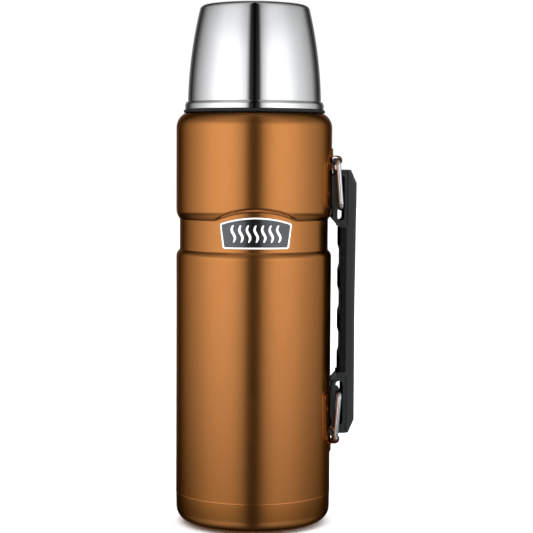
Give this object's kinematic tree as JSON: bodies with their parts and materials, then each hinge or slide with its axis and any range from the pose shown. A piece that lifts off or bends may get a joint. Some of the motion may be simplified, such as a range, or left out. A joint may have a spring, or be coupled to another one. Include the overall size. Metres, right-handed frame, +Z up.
{
  "type": "vacuum flask",
  "caption": "Double-walled steel vacuum flask in copper paint, with a screw stopper, a polished steel screw-on cup and a folding side handle on wire bails.",
  "frame": {"origin": "centre of the foot ring, on the surface that the flask stands on", "axes": "+Z up along the flask's axis; -Y towards the badge; +X towards the folding handle"},
  "size_m": [0.1084, 0.094, 0.315],
  "materials": {
    "copper_paint": "gloss metallic copper lacquer",
    "polished_steel": "mirror polished",
    "inner_steel": "satin",
    "copper_foil": "thin bright foil",
    "getter_metal": "matte pressed powder in a cup",
    "black_plastic": "fine moulded texture",
    "grip_rubber": "soft satin",
    "stopper_plastic": "satin",
    "liner_plastic": "satin",
    "foam": "closed-cell foam",
    "silicone": "satin",
    "chromed_wire": "bright",
    "badge_dark": "satin enamel",
    "badge_pale": "satin"
  },
  "bodies": {
    "root": {"outer_shell": "copper_paint", "base_cup": "copper_paint", "vacuum_bottom": "inner_steel", "seal_plug": "inner_steel", "inner_vessel": "inner_steel", "inner_bottom": "inner_steel", "heat_foil": "copper_foil", "getter": "getter_metal", "neck_collar": "black_plastic", "upper_bracket": "copper_paint", "lower_bracket": "copper_paint", "badge_frame": "badge_pale", "badge_plate": "badge_dark"},
    "stopper_carrier": {"stopper_gasket": "silicone"},
    "stopper": {"stopper_body": "stopper_plastic", "stopper_foam": "foam", "stopper_cap": "stopper_plastic", "stopper_ring": "silicone"},
    "cup_carrier": {"cup_ring": "black_plastic"},
    "cup": {"cup_shell": "polished_steel", "cup_liner": "liner_plastic"},
    "upper_bail": {"upper_bail": "chromed_wire"},
    "lower_bail": {"lower_bail": "chromed_wire"},
    "handle": {"handle_body": "black_plastic", "handle_grip": "grip_rubber"}
  },
  "joints": [
    {"name": "stopper_rise", "type": "slide", "parent": "root", "child": "stopper_carrier", "axis": [0, 0, 1], "range_m": [0, 0.03401]},
    {"name": "stopper_turn", "type": "hinge", "parent": "stopper_carrier", "child": "stopper", "pos_m": [0, 0, 0.25], "axis": [0, 0, 1], "range_deg": [0, 1530]},
    {"name": "cup_rise", "type": "slide", "parent": "root", "child": "cup_carrier", "axis": [0, 0, 1], "range_m": [0, 0.06601]},
    {"name": "cup_turn", "type": "hinge", "parent": "cup_carrier", "child": "cup", "pos_m": [0, 0, 0.28], "axis": [0, 0, 1], "range_deg": [0, 1980]},
    {"name": "upper_bail_swing", "type": "hinge", "parent": "root", "child": "upper_bail", "pos_m": [0.0498, 0, 0.2204], "axis": [0, -1, 0], "range_deg": [0, 40]},
    {"name": "handle_pivot", "type": "hinge", "parent": "upper_bail", "child": "handle", "pos_m": [0.05195, 0, 0.19178], "axis": [0, -1, 0], "range_deg": [-40.01, 0.01]},
    {"name": "lower_bail_swing", "type": "hinge", "parent": "root", "child": "lower_bail", "pos_m": [0.0495, 0, 0.0515], "axis": [0, 1, 0], "range_deg": [-0.01, 40.01]}
  ],
  "couplings": [
    {"joint": "stopper_rise", "follows": "stopper_turn", "m_per_rad": 0.0012732},
    {"joint": "cup_rise", "follows": "cup_turn", "m_per_rad": 0.0019099},
    {"joint": "handle_pivot", "follows": "upper_bail_swing", "ratio": -1},
    {"joint": "lower_bail_swing", "follows": "upper_bail_swing", "ratio": 1}
  ]
}
